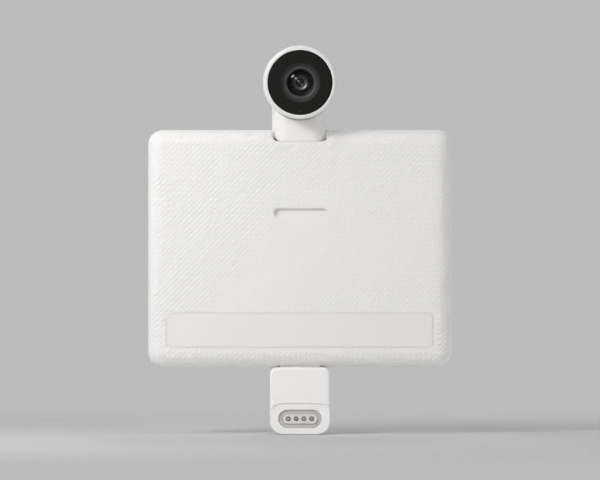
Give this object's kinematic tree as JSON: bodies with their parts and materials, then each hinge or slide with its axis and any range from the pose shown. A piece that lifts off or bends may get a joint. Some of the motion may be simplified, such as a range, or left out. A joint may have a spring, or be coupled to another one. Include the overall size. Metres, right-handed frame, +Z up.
{
  "type": "smart home camera hub",
  "caption": "Flat hub for the back of a screen, with a tilting round camera on a neck above its body, a key slot, an inlaid grip strip and a lower pod with sprung contacts.",
  "frame": {"origin": "middle of the body's flat front face", "axes": "-Y out of the front face, +Z up towards the camera, +X to the right seen from the front"},
  "size_m": [0.099, 0.021, 0.1268],
  "materials": {
    "shell_white": "fine matte moulding, faint diagonal hatch on the body",
    "strip_white": "smooth satin",
    "face_black": "satin black",
    "lens_black": "matte black",
    "lens_glass": "polished, coated",
    "ring_bright": "satin metal",
    "screw_steel": "plain steel",
    "can_steel": "tinned sheet",
    "magnet_nickel": "nickel plated",
    "contact_gold": "gold plated",
    "washer_bronze": "spring bronze",
    "antenna_copper": "copper foil on a carrier",
    "spreader_aluminium": "brushed sheet",
    "board_green": "solder mask",
    "chip_black": "moulded package",
    "socket_ivory": "plain moulding",
    "ribbon_amber": "polyimide film",
    "pad_blue": "soft pad",
    "light_clear": "clear diffuser"
  },
  "bodies": {
    "hub_body": {"front_cover": "shell_white", "rear_cover": "shell_white", "grip_strip": "strip_white", "cover_screws": "screw_steel", "main_board": "board_green", "board_screws": "screw_steel", "processor": "chip_black", "memory_chips": "chip_black", "shield_can": "can_steel", "thermal_pad": "pad_blue", "heat_spreader": "spreader_aluminium", "radio_module": "can_steel", "antenna_left": "antenna_copper", "antenna_right": "antenna_copper", "holding_magnets": "magnet_nickel", "magnet_yokes": "can_steel", "camera_socket": "socket_ivory", "dock_socket": "socket_ivory", "power_coils": "chip_black", "neck": "shell_white", "neck_screws": "screw_steel", "camera_ribbon": "ribbon_amber", "pod_shell": "shell_white", "pod_back": "shell_white", "pod_screws": "screw_steel", "tongue_screws": "screw_steel", "port_cup": "ring_bright", "pin_block": "socket_ivory", "pin_barrels": "contact_gold", "contact_spring_1": "screw_steel", "contact_spring_2": "screw_steel", "contact_spring_3": "screw_steel", "contact_spring_4": "screw_steel", "dock_magnets": "magnet_nickel", "dock_board": "board_green", "dock_ribbon": "ribbon_amber"},
    "camera_head": {"drum_shell": "shell_white", "rear_shell": "shell_white", "face_disc": "face_black", "lens_barrel": "lens_black", "front_lens": "lens_glass", "iris_ring": "ring_bright", "rear_lens": "lens_glass", "infrared_filter": "lens_glass", "image_sensor": "chip_black", "sensor_board": "board_green", "sensor_socket": "socket_ivory", "camera_carrier": "lens_black", "carrier_screws": "screw_steel", "status_light": "light_clear", "light_pipe": "light_clear", "tilt_pins": "screw_steel", "friction_washers": "washer_bronze"},
    "pin_1": {"contact_1": "contact_gold"},
    "pin_2": {"contact_2": "contact_gold"},
    "pin_3": {"contact_3": "contact_gold"},
    "pin_4": {"contact_4": "contact_gold"}
  },
  "joints": [
    {"name": "camera_tilt", "type": "hinge", "parent": "hub_body", "child": "camera_head", "pos_m": [0, -0.0008, 0.0542], "axis": [1, 0, 0], "range_deg": [-10, 14], "deforming": ["camera_ribbon"]},
    {"name": "contact_press_1", "type": "slide", "parent": "hub_body", "child": "pin_1", "axis": [0, 1, 0], "range_m": [0, 0.0007], "stiffness_N_per_m": 400, "springref_m": -0.0003, "deforming": ["contact_spring_1"]},
    {"name": "contact_press_2", "type": "slide", "parent": "hub_body", "child": "pin_2", "axis": [0, 1, 0], "range_m": [0, 0.0007], "stiffness_N_per_m": 400, "springref_m": -0.0003, "deforming": ["contact_spring_2"]},
    {"name": "contact_press_3", "type": "slide", "parent": "hub_body", "child": "pin_3", "axis": [0, 1, 0], "range_m": [0, 0.0007], "stiffness_N_per_m": 400, "springref_m": -0.0003, "deforming": ["contact_spring_3"]},
    {"name": "contact_press_4", "type": "slide", "parent": "hub_body", "child": "pin_4", "axis": [0, 1, 0], "range_m": [0, 0.0007], "stiffness_N_per_m": 400, "springref_m": -0.0003, "deforming": ["contact_spring_4"]}
  ]
}
